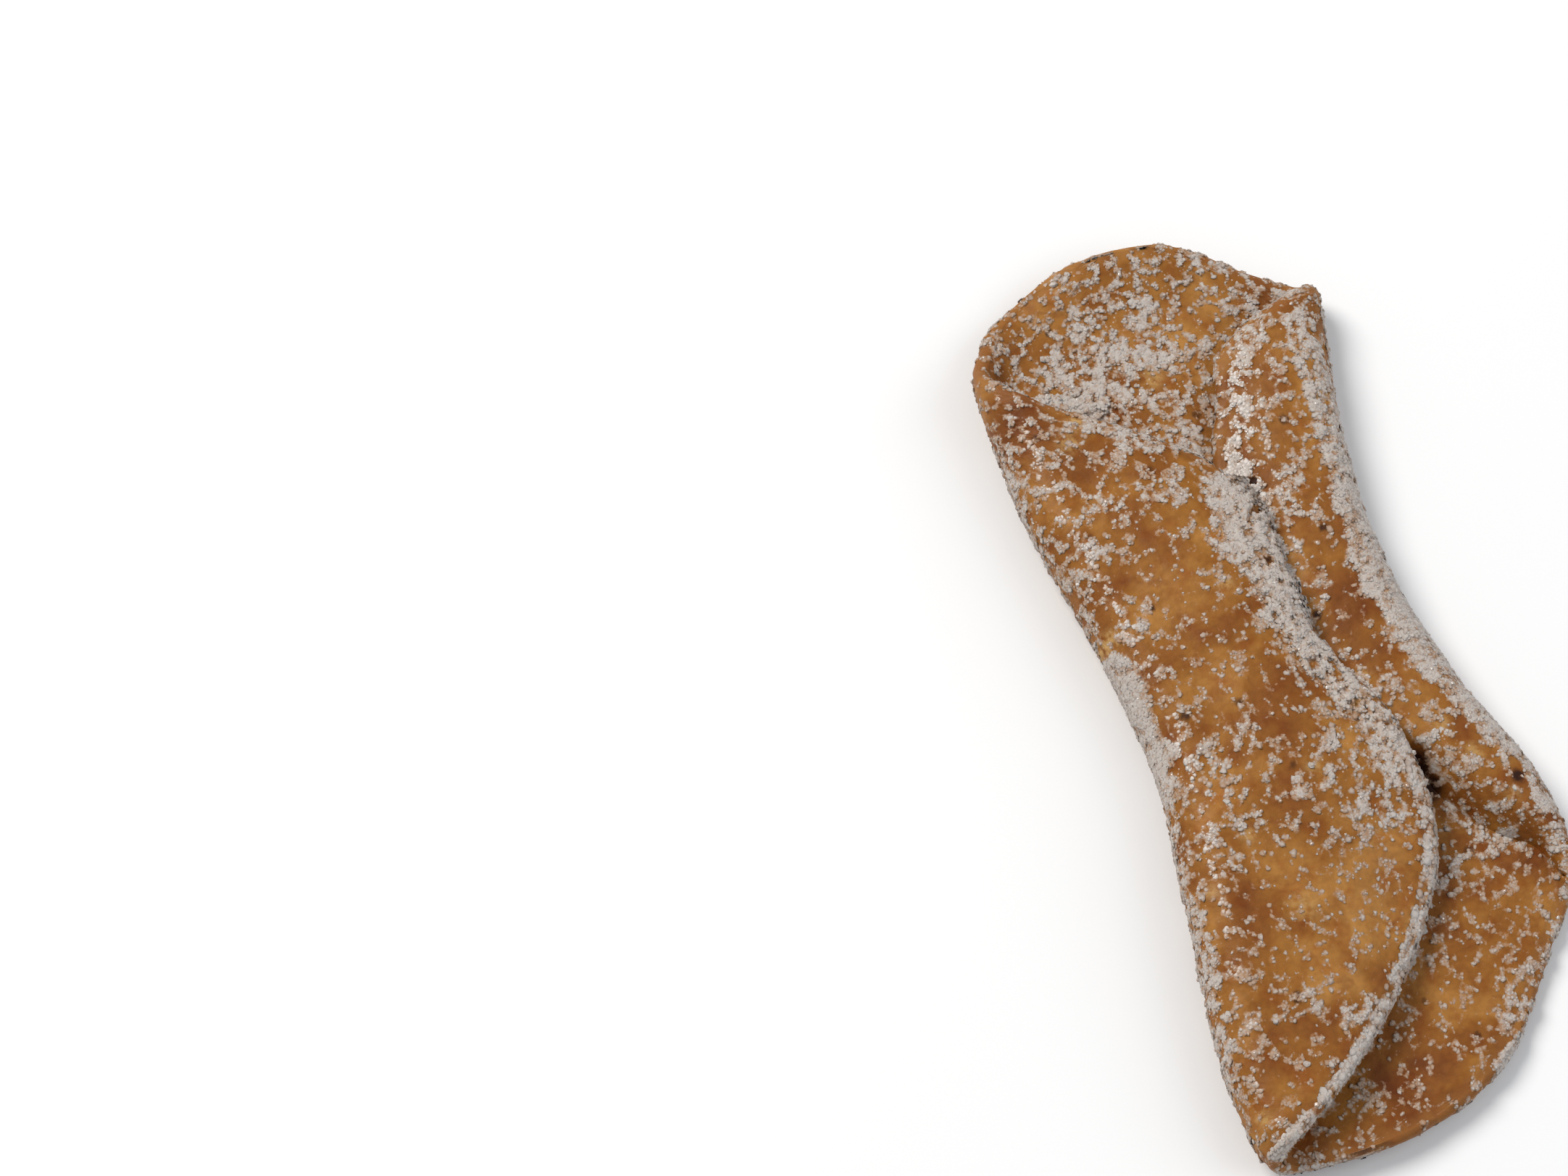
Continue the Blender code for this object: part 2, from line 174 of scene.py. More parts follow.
# The bank of sugar against the left flap's edge at the waist.
BANK_SPAN = (-7 * MM, 21.5 * MM)
BANK_WIDTH = 1.7 * MM
BANK_HEIGHT = 0.8 * MM
BANK_COVERAGE = 0.90
PILES_UP = 0.3                # sugar lies deeper only on faces whose normal rises more than this
SPARSER = 1.45                # above 1, thin places are thinner still
STRAY = (0.003, 0.022)        # chance of a single grain off the clumps: anywhere, and more by the coverage
LOOSE = 0.25                  # how much further apart the grains of the thinnest places lie
SMALL_STRAYS = 0.6            # share of the size that a single grain has
GAP_ABOVE = 8 * MM            # a face with less room than this in front of it stays bare
GAP_START = 0.3               # mm off the face, from where the room is measured
FLOOR_GAP = 0.02 * MM

# Where the sugar lies thick or thin: (from x, y, to x, y, half-width, coverage), mm, later over earlier.
STROKES = [
    # the dish of the upper lobe and its rim
    (-9, 47, 7, 47, 3, 0.46), (-15.5, 46, -12, 46, 2.5, 0.28), (-17.5, 42.5, -12, 42, 2.8, 0.43),
    (-9, 42.5, -2, 42.5, 3.4, 0.62), (-12, 38, -2.5, 38, 4.2, 0.70), (-12, 32.4, -2, 33, 2.4, 0.54),
    (1.5, 43, 2.5, 33, 2.5, 0.40), (-16, 35.4, -9.5, 32.8, 1.5, 0.95), (-21.5, 42, -22.5, 33, 1.8, 0.18),
    (-18.6, 40.5, -18.0, 37.5, 1.8, 0.50), (-4, 36, -3, 35.5, 1.6, 0.35),
    # the right flap's upper part
    (6, 46, 9, 42.5, 3, 0.50), (12, 42, 14, 40, 2.6, 0.50), (7, 38, 7, 35, 2.6, 0.55),
    (7.3, 32, 7, 22, 2.4, 0.27), (12.5, 36, 12.5, 24, 2.2, 0.70),
    # the left flap's upper part, down to the waist
    (-22.5, 29, -22, 25, 2.2, 0.72), (-17.5, 32.5, -17, 26, 2.8, 0.28), (-17.5, 24, -17, 16, 2.8, 0.44),
    (-17.5, 13, -17, 6, 2.4, 0.42), (-13, 31, -12.5, 30, 2.2, 0.48), (-8.5, 31, -2, 30, 2.4, 0.44),
    (-8.5, 27, -2, 27, 2.8, 0.66), (-12.8, 27, -12.5, 23, 2.2, 0.22), (-12.5, 22, -12, 20, 2.0, 0.50),
    (-8, 21, -6, 20, 2.5, 0.45), (-12.5, 19.5, -11.5, 18.5, 2.0, 0.5), (-13, 15.5, -8, 15.5, 2.2, 0.27),
    (-12.5, 12, -7.5, 12, 3.3, 0.03), (-9.5, 7, -7.5, -3, 3.8, 0.03), (-4.6, 4, -4.0, -4, 3.0, 0.0),
    (-14.5, 6, -13, 1, 1.8, 0.44), (-17.4, 3, -15, -9, 2.2, 0.96),
    # the line and the drift along the right flap's inner side
    (9.2, 40.3, 5.9, 35.6, 1.2, 0.66), (5.9, 35.6, 4.1, 29.6, 1.5, 0.68), (4.1, 29.6, 3.0, 25.4, 1.4, 0.62),
    (1.9, 21.8, 1.4, 18, 2.3, 0.80), (0, 18, -0.4, 13, 4.5, 0.88), (0.6, 12, 1.4, 5, 3.4, 0.88),
    (1.9, 5, 3.2, -3, 2.2, 0.96), (3.2, -3, 6.6, -8, 2.3, 0.76), (6.6, -8, 7.4, -15, 2.6, 0.70),
    (6.0, 19.5, 6.4, 15.5, 1.8, 0.62), (6.6, 13, 7.4, 6, 1.9, 0.62), (2.6, -17.6, 6.8, -18.6, 2.2, 0.58),
    # the left flap's lower part
    (-13, -9, -7, -8, 2.4, 0.56), (-13.4, -3, -13.2, -5, 1.6, 0.22), (-4, -8, -2, -11, 2, 0.20),
    (-12, -14, -7, -13, 2.6, 0.38), (-2, -14, 2, -12, 2.4, 0.52), (-13.4, -18, -12.5, -19.5, 2.2, 0.52),
    (-8.5, -17, -6, -18, 2.2, 0.44), (-11, -23.5, -2, -23.5, 3, 0.05), (-12, -29, -1, -29, 3.6, 0.08),
    (1.6, -24, 4.2, -25, 2.4, 0.05), (-13, -34, -3, -33, 2.6, 0.07), (-9.5, -35, -8, -35.5, 1.6, 0.4),
    (0.6, -34, 3.6, -33, 2.2, 0.03), (-14, -39, -8, -39, 2.4, 0.14), (-4.5, -38.5, -2.5, -37.5, 2.2, 0.50),
    (-17, -44, -11, -44, 2.6, 0.06), (-8, -43.5, -6, -43.5, 2, 0.28), (-15.5, -48, -11, -48.5, 2.4, 0.26),
    (-7, -49, 2, -48.5, 2.2, 0.10), (-16.8, -22, -17.6, -38, 1.6, 0.68),
    # the lower lobe
    (-1, -44, 8, -42, 3.8, 0.0), (3, -37, 9, -37, 3.6, 0.0), (9.5, -33.5, 17, -33, 2.6, 0.12),
    (12, -41.5, 13.5, -40, 1.8, 0.50), (10, -45.5, 13, -43.5, 1.9, 0.94), (11, -28, 18, -28, 2.8, 0.10),
    (9.6, -24, 10.4, -26, 1.8, 0.34), (13, -23.5, 18, -23, 2.4, 0.42), (12, -18.5, 14, -19, 2.6, 0.50),
    (16, -17.0, 18, -18.5, 2.2, 0.32), (11.5, -12.5, 14.5, -13.5, 2.4, 0.56),
    (10.4, -12.4, 11.2, -16.4, 1.2, 0.04), (11, -8, 13, -8.5, 1.8, 0.26), (21.4, -16.5, 21.6, -21, 1.7, 0.76),
    (21.8, -23, 21.8, -30, 1.4, 0.50), (20, -32, 14, -43, 1.2, 0.45),
    # the right flap's lower part and its outer side
    (6.6, 13.5, 9, -1, 1.7, 0.13), (11, -3, 12.5, -5.5, 1.8, 0.10), (12.5, -18.5, 19.5, -23.5, 2.2, 0.50),
    (12.4, 24, 12.4, 15, 2.3, 0.86), (12.2, 15, 12.0, 6, 2.5, 0.97), (12.7, 6, 14.8, -4, 2.5, 0.98),
    (16.0, -6, 19.5, -14, 2.0, 0.86),
]
# Pits in the drift that it leaves bare, three of them darkened as painted shadow by dabs at the same places:
# (x, y, radius, coverage), mm.
PITS = [(1.6, 16.2, 0.65, 0.0), (1.2, 10.5, 0.7, 0.0), (2.9, 20.4, 0.6, 0.0), (5.2, 6.8, 0.5, 0.0)]
STROKE_FADE = 0.4             # the outer share of a stroke's half-width over which it fades
FLAKE_FADE = 0.9
DAB = 0.01                    # the length of a dab's stroke, mm

# Where it lies deeper: (from x, y, to x, y, half-width, extra depth), mm.
DRIFTS = [
    (1.8, 20.5, 0.8, 14, 2.6, 0.2), (0.8, 14, 1.4, 5, 3.0, 0.25), (1.4, 5, 3.2, -3, 2.4, 0.3),
    (3.2, -3, 7, -10, 2.2, 0.25), (-15.5, 35.6, -9, 32.8, 2.0, 0.4), (12.4, 23, 12.2, 8, 2.4, 0.15),
]
CRUST = 0.20 * MM             # the thin crust between and under the grains
CRUST_RIM = (-0.06, 0.12)     # from here to here, in coverage past a clump's rim, it rises to its full height
CRUST_ROUGH = (0.7 * MM, 0.6)     # its lumps: (length, share of its height)
CRUST_FOOT = (0.1 * MM, 0.5 * MM)     # it starts at this height, and is full this much higher
EVENED_OVER = 50              # one in so many of the dough's vertices is used to even out the noise

# The kinds of grain: least and greatest size, least distance apart as a share of two grains' sizes together,
# share sunk, flatness, smooth, chance of a candidate, and how far past a clump's rim they start, in coverage.
Kind = namedtuple("Kind", "name least most apart sunk flatness smooth chance start")
KINDS = [
    Kind("sugar_crust", 0.32 * MM, 0.70 * MM, 0.31, 0.72, 0.42, True, 1.0, 0.0),
    Kind("sugar_grains", 0.22 * MM, 0.52 * MM, 0.48, 0.56, 0.60, True, 0.55, -0.08),
    Kind("sugar_crystals", 0.24 * MM, 0.42 * MM, 1.8, 0.45, 1.0, False, 0.4, -0.02),
]
CRYSTALS = "sugar_crystals"
LIES_FLAT = 0.8               # a kind that is flatter than this lies flat on the dough
STRETCH = (0.7, 1.3)          # a grain's width and length, as shares of its size
# The shapes, of about unit size: how large they start, and by how much their corners stray.
LUMP_RADIUS = 0.56
LUMP_ROUGH = 0.22
CRYSTAL_WIDTH = 0.85
CRYSTAL_BEVEL = 0.18
CRYSTAL_ROUGH = 0.12
SIZE_BIAS = 1.9               # above 1, small ones are commoner
SHAPES = 14
TRIANGLES_A_PIECE = 190000
RIM_CLEAR = 0.80              # how milky a grain at a clump's rim is
DEEP_MARGIN = 0.16            # this far past the rim, in coverage, grains are wholly milky
DEEP_SUNK = 0.07              # and they sit this much lower, as a share of their height
MILK_SPREAD = 0.5             # how much the grains' milkiness differs at random
# Each grain's colour is painted browner towards its foot and milkier towards its top, as painted shade and
# painted light passing through the grain.
CLEAR_PAINTED_FOOT = 0.30             # share of its milkiness that a grain keeps at its foot, at a clump's rim
DEEP_PAINTED_FOOT = 0.92              # and deep in a clump


def through(stations, y):
    """A smooth curve through (station, value) pairs in mm, cubic between neighbours; metres in and out."""
    places, values = np.array(stations, float).T
    last = len(places) - 1
    before = np.maximum(np.arange(last + 1) - 1, 0)
    after = np.minimum(np.arange(last + 1) + 1, last)
    slopes = (values[after] - values[before]) / (places[after] - places[before])
    y = np.clip(np.asarray(y) / MM, places[0], places[-1])
    k = np.clip(np.searchsorted(places, y) - 1, 0, last - 1)
    span = places[k + 1] - places[k]
    t = (y - places[k]) / span
    value = ((2 * t - 3) * t * t + 1) * values[k] + (3 - 2 * t) * t * t * values[k + 1]
    value += span * t * (t - 1) * ((t - 1) * slopes[k] + t * slopes[k + 1])
    return value * MM


def ease(t):
    """0 to 1, level at both ends."""
    t = np.clip(t, 0.0, 1.0)
    return t * t * (3 - 2 * t)


def uneven(u, v, length, height):
    """A slow random rise and fall over the sheet, with features of that length."""
    u, v = np.broadcast_arrays(u, v)
    return height * np.array([noise.noise((a / length, b / length, 0.0)) for a, b in zip(u.flat, v.flat)])


def middle(v):
    """Where the sheet's middle line lies across at station v."""
    share = (v / HALF_LENGTH + 1) / 2
    return (TIP_LOW + (TIP_HIGH - TIP_LOW) * share) * MM


def half_width(v, sign):
    """The half-width of the oval that the sheet's edge follows at station v."""
    stations = REACH_RIGHT if sign > 0 else REACH_LEFT
    return through(stations, v) + uneven(sign * HALF_LENGTH, v, RAGGED_LENGTH, RAGGED)


def base_height(v):
    """Middle of the dough where it isn't folded: level, with the two lobes' rims lifted."""
    start = np.where(v > 0, DISH_HIGH[0], DISH_LOW[0])
    rise = np.where(v > 0, DISH_HIGH[1], DISH_LOW[1])
    past = np.maximum((np.abs(v) - start) / (HALF_LENGTH - start), 0.0)
    return THICKNESS / 2 + rise * past * past


def folded_side(u, v, sign, face, radii, heights, settling, crown):
    """The places of flat points on one side of the sheet, across and up."""
    ground = base_height(v)
    radius = through(radii, v)
    start = sign * through(face, v) - radius - THICKNESS / 2
    beyond = sign * u - start
    turn = math.pi * radius
    swell = uneven(u, v, SWELL_LENGTH, SWELL)
    angle = np.clip(beyond, 0, turn) / radius
    x_round = start + radius * np.sin(angle)
    z_round = ground + (radius + swell / 2) * (1 - np.cos(angle))
    along = np.maximum(beyond - turn, 0)
    share = np.minimum(along / settling, 1.0)
    top = 2 * radius
    low = through(heights, v) - THICKNESS / 2
    z_flap = ground + top + (low - top) * ease(share) + crown * np.sin(math.pi * share) ** 2 + swell
    flat, bent = beyond <= 0, beyond <= turn
    x = np.where(flat, sign * u, np.where(bent, x_round, start - along))
    z = np.where(flat, ground, np.where(bent, z_round, z_flap))
    return sign * x, z


def turned(u, v):
    """How far each flat point has come round the right fold: 0 up to its side, 1 from its top on."""
    radius = through(RADIUS_RIGHT, v)
    beyond = u - through(FACE_RIGHT, v) + radius + THICKNESS / 2
    return ease(2 * beyond / (math.pi * radius) - 1)


def pressed(u, v):
    """How far each flat point is pressed down on the lobe, 0 to 1."""
    edge = middle(v) + half_width(v, 1) * np.sqrt(np.maximum(1 - (v / HALF_LENGTH) ** 2, 0))
    firm = np.clip(through(PRESSED, v) / MM, 0, 1)
    return firm * turned(u, v) * ease(1 - (edge - u) / PRESSED_BAND)


def fold(u, v):
    """Carries flat points to their places in the folded piece, one row each."""
    left_x, left_z = folded_side(
        u, v, -1, FACE_LEFT, RADIUS_LEFT, HEIGHT_LEFT, SETTLING_LEFT, CROWN_LEFT)
    right_x, right_z = folded_side(
        u, v, 1, FACE_RIGHT, RADIUS_RIGHT, HEIGHT_RIGHT, SETTLING_RIGHT, CROWN_RIGHT)
    right_z += (PRESSED_HEIGHT - right_z) * pressed(u, v)
    right_z -= painted(np.stack([right_x, v], -1), HOLLOWS, 0.0, 1.0) * MM * turned(u, v)
    return np.stack([np.where(u < 0, left_x, right_x), v, np.where(u < 0, left_z, right_z)], -1)


def unit(rows):
    """Each row as a vector of length 1."""
    return rows / np.maximum(np.linalg.norm(rows, axis=1, keepdims=True), 1e-12)


def deselect_all():
    if bpy.context.object and bpy.context.object.mode != "OBJECT":
        bpy.ops.object.mode_set(mode="OBJECT")
    bpy.ops.object.select_all(action="DESELECT")


def coordinates(mesh):
    """The places of a mesh's vertices, one row each."""
    flat = np.empty(len(mesh.vertices) * 3)
    mesh.vertices.foreach_get("co", flat)
    return flat.reshape(-1, 3)


def set_coordinates(mesh, places):
    mesh.vertices.foreach_set("co", places.ravel())
    mesh.update()


def in_order(mesh):
    """Puts a mesh's triangles in the order of their corners.  Extruding and bevelling leave the new faces in
    another order each time, and the grains are drawn from the triangles in turn."""
    places = coordinates(mesh)
    corners = np.array([list(face.vertices) for face in mesh.polygons])
    first = corners.argmin(axis=1)[:, None]
    corners = np.take_along_axis(corners, (first + np.arange(3)) % 3, axis=1)
    corners = corners[np.lexsort(corners.T[::-1])]
    mesh.clear_geometry()
    mesh.from_pydata(places.tolist(), [], corners.tolist())


# ---------------------------------------------------------------- the dough
def rolled_block(name):
    """A square grid with its other face and a cut edge of several rings extruded from it."""
    deselect_all()
    bpy.ops.mesh.primitive_grid_add(x_subdivisions=CELLS_ACROSS, y_subdivisions=CELLS_ALONG, size=2)
    sheet = bpy.context.object
    sheet.name = name
    bpy.ops.object.mode_set(mode="EDIT")
    bpy.ops.mesh.select_all(action="SELECT")
    for _ in range(EDGE_RINGS):
        bpy.ops.mesh.extrude_region_move(TRANSFORM_OT_translate={"value": (0, 0, 1 / EDGE_RINGS)})
    bpy.ops.mesh.select_all(action="SELECT")
    bpy.ops.mesh.normals_make_consistent(inside=False)
    bpy.ops.object.mode_set(mode="OBJECT")
    return sheet


def fold_up(sheet):
    """Rounds the square off to the oval, folds it, and gives it its thickness.  Returns how far in from
    the cut edge each vertex lies."""
    x, y, level = coordinates(sheet.data).T
    q = BLUNT * np.sin(ROW_CROWDING * y) / math.sin(ROW_CROWDING)
    p = x * np.sqrt(1 - q * q)
    v = HALF_LENGTH * q
    reach = np.where(p > 0, half_width(v, 1), half_width(v, -1))
    u = middle(v) + p * reach
    from_edge = (1 - np.hypot(p, q)) * TYPICAL_REACH
    on_edge = np.maximum(np.abs(x), np.abs(y)) > 1 - 1e-5
    place = fold(u, v)
    across = fold(u + PROBE, v) - fold(u - PROBE, v)
    along = fold(u, v + PROBE) - fold(u, v - PROBE)
    outwards = unit(np.cross(across, along))
    thin = EDGE_THINNING + (1 - EDGE_THINNING) * ease(from_edge / EDGE_BAND)
    thin *= 1 - (1 - PRESSED_THICKNESS) * pressed(u, v)
    place += outwards * ((level - 0.5) * THICKNESS * thin)[:, None]
    flat_out = unit(np.stack([p / reach, q / HALF_LENGTH, np.zeros_like(p)], -1)) * PROBE
    beyond = unit(fold(u + flat_out[:, 0], v + flat_out[:, 1]) - fold(u, v))
    bulge = np.where(on_edge, np.sqrt(np.clip(1 - (2 * level - 1) ** 2, 0, 1)), 0)
    place += beyond * (EDGE_ROUNDING * bulge)[:, None]
    set_coordinates(sheet.data, place)
    bpy.ops.object.mode_set(mode="EDIT")
    bpy.ops.mesh.quads_convert_to_tris(quad_method="SHORTEST_DIAGONAL")
    bpy.ops.object.mode_set(mode="OBJECT")
    in_order(sheet.data)
    return from_edge


def blistered(sheet):
    """Relief by displacement along the normals, fading out where the piece rests."""
    raised = sheet.vertex_groups.new(name="raised")
    heights = coordinates(sheet.data)[:, 2]
    for k, share in enumerate(ease((heights - RELIEF_FOOT[0]) / RELIEF_FOOT[1])):
        if share > 0:
            raised.add([k], float(share), "REPLACE")
    for k, (kind, size, height) in enumerate(RELIEF):
        texture = bpy.data.textures.new(f"relief_{k}", kind)
        texture.noise_scale = size
        push = sheet.modifiers.new(f"relief_{k}", "DISPLACE")
        push.texture = texture
        push.texture_coords = "LOCAL"
        push.strength = height
        push.mid_level = 0.5
        push.vertex_group = "raised"
    bpy.context.view_layer.objects.active = sheet
    for name in [m.name for m in sheet.modifiers]:
        bpy.ops.object.modifier_apply(modifier=name)


def stay_in_box(sheet):
    """Eases the outermost points in, so that they and the grains on them stay inside the solid's own box."""
    places = coordinates(sheet.data)
    low, high = np.array(CAD_LOW) + GRAIN_ROOM + EASED, np.array(CAD_HIGH) - GRAIN_ROOM - EASED
    low[2] = -1.0  # the piece rests on its underside, which isn't eased up
    over, under = np.maximum(places - high, 0) / EASED, np.maximum(low - places, 0) / EASED
    places += EASED * ((under - np.tanh(under)) - (over - np.tanh(over)))
    places[:, 2] = np.maximum(places[:, 2], 0)
    set_coordinates(sheet.data, places)


def attribute(mesh, name, values):
    """A value for each vertex, which the materials read by its name."""
    layer = mesh.attributes.new(name, "FLOAT", "POINT")
    layer.data.foreach_set("value", np.asarray(values, np.float32))


def make_dough():
    """The folded sheet, without its sugar."""
    sheet = rolled_block("dough")
    from_edge = fold_up(sheet)
    blistered(sheet)
    attribute(sheet.data, "cut_edge", 1 - ease(from_edge / EDGE_BAND))
    sheet.data.shade_smooth()
    return sheet


# ---------------------------------------------------------------- where the sugar lies
def stroke_weight(points, stroke, fade):
    """1 inside a stroke, fading to 0 over a share of its half-width."""
    x0, y0, x1, y1, width, _ = stroke
    start, run = np.array([x0, y0]) * MM, np.array([x1 - x0, y1 - y0]) * MM
    t = np.clip(((points - start) @ run) / (run @ run), 0, 1)
    distance = np.linalg.norm(points - start - t[:, None] * run, axis=1)
    return ease((1 - distance / (width * MM)) / fade)


def painted(points, strokes, value, fade=STROKE_FADE):
    """A value for each point, with strokes laid over it one after another."""
    for stroke in strokes:
        value = value + (stroke[5] - value) * stroke_weight(points, stroke, fade)
    return value


def dabs(spots):
    """Round strokes, one for each (x, y, radius, strength)."""
    return [(x, y, x + DAB, y, radius, strength) for x, y, radius, strength in spots]


def free_edge(y):
    """Where the left flap's free edge lies across."""
    v = np.clip(y, -HALF_LENGTH, HALF_LENGTH)
    u = middle(v) - half_width(v, -1) * np.sqrt(1 - (v / HALF_LENGTH) ** 2)
    return fold(u, v)[:, 0]


def beside_edge(points, normals):
    """Whether each point lies on the lower part of the left flap's free edge."""
    off = np.abs(points[:, 0] - free_edge(points[:, 1]))
    return (points[:, 1] < EDGE_TOP) & (off < EDGE_REACH) & (normals[:, 2] > 0)


def banked(points, normals):
    """How high the bank of sugar beside the left flap's edge stands at each point, 0 to 1."""
    off = points[:, 0] - free_edge(points[:, 1]) - EDGE_ROUNDING
    ends = np.minimum(points[:, 1] - BANK_SPAN[0], BANK_SPAN[1] - points[:, 1])
    return ease(1 - off / BANK_WIDTH) * (off > 0) * ease(ends / BANK_WIDTH) * (normals[:, 2] > PILES_UP)


def coverage(points, normals):
    """The share of the dough that sugar covers there."""
    flat = points[:, :2]
    cover = painted(flat, STROKES, np.where(normals[:, 2] > UPPER_FACE, OUTER_COVERAGE, WALL_COVERAGE))
    on_edge = EDGE_COVERAGE + uneven(0.0, points[:, 1], *EDGE_UNEVEN)
    cover = np.where(beside_edge(points, normals), np.maximum(cover, on_edge), cover)
    cover = np.maximum(cover, BANK_COVERAGE * np.minimum(2 * banked(points, normals), 1))
    cover = painted(flat, dabs(PITS), cover)
    return np.where(normals[:, 2] < -UPPER_FACE, UNDER_COVERAGE, cover) ** SPARSER


def noise_at(points, length, shift=(0, 0, 0)):
    """Smooth noise at each point, with features of that length, around 0."""
    shift = Vector(shift)
    return np.array([noise.noise(Vector(point) / length + shift) for point in points])


def blotches(points):
    """A blotchy random value whose level sets look like clumped grains."""
    total = np.zeros(len(points))
    for length, blots, strings in CLUMP_NOISE:
        total += blots * noise_at(points, length)
        total += strings * (2 * np.abs(noise_at(points, length, STRING_SHIFT)) - STRING_MIDDLE)
    return total


def clumps(points, evenly):
    """The blotchy value, evened out to lie between 0 and 1 by the values found on the dough."""
    return np.interp(blotches(points), evenly, np.linspace(0, 1, len(evenly)))


def room_above(tree, points, normals, wanted):
    """Whether there is room for sugar in front of each wanted point."""
    free = np.zeros(len(points), bool)
    for k in np.flatnonzero(wanted):
        here, out = Vector(points[k]), Vector(normals[k])
        free[k] = tree.ray_cast(here + out * GAP_START * MM, out, GAP_ABOVE)[0] is None
    return free


def browned_and_shaded(dough):
    """Marks how dark or golden the dough is, where it is scorched or flaky, and where shade is painted on it.
    """
    flat = coordinates(dough.data)[:, :2]
    attribute(dough.data, "tone", painted(flat, TONES, 0.0))
    attribute(dough.data, "scorch", painted(flat, dabs(SCORCHES_AND_PAINTED_SHADOWS), 0.0))
    attribute(dough.data, "flake", painted(flat, dabs(FLAKES), 0.0, FLAKE_FADE))


def crusted(dough):
    """Raises a thin crust on the dough where sugar lies.  Returns the evened-out noise for the grains and
    the dough's normals without the crust."""
    mesh = dough.data
    points = coordinates(mesh)
    normals = np.empty(len(points) * 3)
    mesh.vertices.foreach_get("normal", normals)
    normals = normals.reshape(-1, 3)
    evenly = np.sort(blotches(points))[::EVENED_OVER]
    cover = coverage(points, normals)
    margin = cover - clumps(points, evenly)
    crust = ease((margin - CRUST_RIM[0]) / (CRUST_RIM[1] - CRUST_RIM[0]))
    crust *= ease((points[:, 2] - CRUST_FOOT[0]) / CRUST_FOOT[1])
    tree = BVHTree.FromObject(dough, bpy.context.evaluated_depsgraph_get())
    crust *= room_above(tree, points, normals, crust > 0)
    deep = painted(points[:, :2], DRIFTS, 0.0) * MM * (normals[:, 2] > PILES_UP)
    deep = np.maximum(deep, BANK_HEIGHT * banked(points, normals))
    length, rough = CRUST_ROUGH
    lumps = 1 + rough * noise_at(points, length)
    set_coordinates(mesh, points + normals * (crust * (CRUST + deep) * lumps)[:, None])
    attribute(mesh, "dusting", cover)
    attribute(mesh, "margin", 0.5 + 0.5 * margin)  # 0.5 at a clump's rim
    return evenly, normals


def surface_points(mesh, vertex_normals, rng):
    """Random points spread evenly over a mesh, with normals that pass smoothly from vertex to vertex."""
    mesh.calc_loop_triangles()
    count = len(mesh.loop_triangles)
    corners, areas = np.empty(count * 3, int), np.empty(count)
    mesh.loop_triangles.foreach_get("vertices", corners)
    mesh.loop_triangles.foreach_get("area", areas)
    corners = corners.reshape(-1, 3)
    chosen = rng.choice(count, CANDIDATES, p=areas / areas.sum())
    a, b = rng.random(CANDIDATES), rng.random(CANDIDATES)
    over = a + b > 1
    a[over], b[over] = 1 - a[over], 1 - b[over]
    shares = np.stack([1 - a - b, a, b], -1)[:, :, None]
    points = (coordinates(mesh)[corners[chosen]] * shares).sum(1)
    return points, unit((vertex_normals[corners[chosen]] * shares).sum(1))


class Crowd:
    """Keeps placed grains apart by looking only at near cells."""

    def __init__(self, cell):
        self.cell = cell
        self.cells = {}

    def key(self, point):
        return tuple(math.floor(c / self.cell) for c in point)

    def near(self, point):
        i, j, k = self.key(point)
        for a in (i - 1, i, i + 1):
            for b in (j - 1, j, j + 1):
                for c in (k - 1, k, k + 1):
                    yield from self.cells.get((a, b, c), ())

    def add(self, point, size):
        self.cells.setdefault(self.key(point), []).append((point, size))


def strew(dough, evenly, vertex_normals):
    """Picks the grains of each kind: (place, normal, size, milkiness, how deep in a clump)."""
    rng = np.random.default_rng(SEED)
    points, normals = surface_points(dough.data, vertex_normals, rng)
    cover = coverage(points, normals)
    margin = cover - clumps(points, evenly)
    stray = STRAY[0] + STRAY[1] * cover
    spread = 1 + LOOSE * (1 - cover)
    growth = 1 + EDGE_GROWTH * beside_edge(points, normals)
    tree = BVHTree.FromObject(dough, bpy.context.evaluated_depsgraph_get())
    inside = (margin > -RAGGED_RIMS) | (rng.random(len(points)) < 2 * stray)
    inside &= room_above(tree, points, normals, inside)
    found = []
    for kind in KINDS:
        draws = rng.random((len(points), 4))
        rim = kind.start + RAGGED_RIMS * (draws[:, 0] - 0.5)
        wanted = inside & ((margin > rim) & (draws[:, 1] < kind.chance) | (draws[:, 1] < stray))
        crowd = Crowd(2 * kind.apart * kind.most * (1 + LOOSE) * (1 + EDGE_GROWTH))
        grains = []
        for k in np.flatnonzero(wanted):
            here, out = Vector(points[k]), Vector(normals[k])
            size = growth[k] * (kind.least + (kind.most - kind.least) * draws[k, 2] ** SIZE_BIAS)
            if margin[k] < -RAGGED_RIMS:
                size *= SMALL_STRAYS
            room = kind.apart * spread[k]
            if any((here - other).length < room * (size + wide) for other, wide in crowd.near(here)):
                continue
            crowd.add(here, size)
            deep = min(max(margin[k] / DEEP_MARGIN, 0), 1)
            milk = RIM_CLEAR + (1 - RIM_CLEAR) * deep + MILK_SPREAD * (draws[k, 3] - 0.5)
            grains.append((here, out, size, milk, deep))
        found.append(grains)
    return found


# ---------------------------------------------------------------- grains as meshes
def grain_shape(k, kind):
    """One grain of unit size: a sharp crystal with bevelled edges, or a rounded lump."""
    crystal = kind.name == CRYSTALS
    deselect_all()
    if crystal:
        bpy.ops.mesh.primitive_cube_add(size=CRYSTAL_WIDTH)
    else:
        bpy.ops.mesh.primitive_ico_sphere_add(subdivisions=1, radius=LUMP_RADIUS)
    shape = bpy.context.object
    bpy.ops.object.mode_set(mode="EDIT")
    bpy.ops.mesh.select_all(action="SELECT")
    if crystal:
        bpy.ops.mesh.bevel(offset=CRYSTAL_BEVEL, segments=1, affect="EDGES")
    bpy.ops.transform.vertex_random(offset=CRYSTAL_ROUGH if crystal else LUMP_ROUGH, seed=k)
    bpy.ops.mesh.quads_convert_to_tris()
    bpy.ops.object.mode_set(mode="OBJECT")
    in_order(shape.data)
    return shape


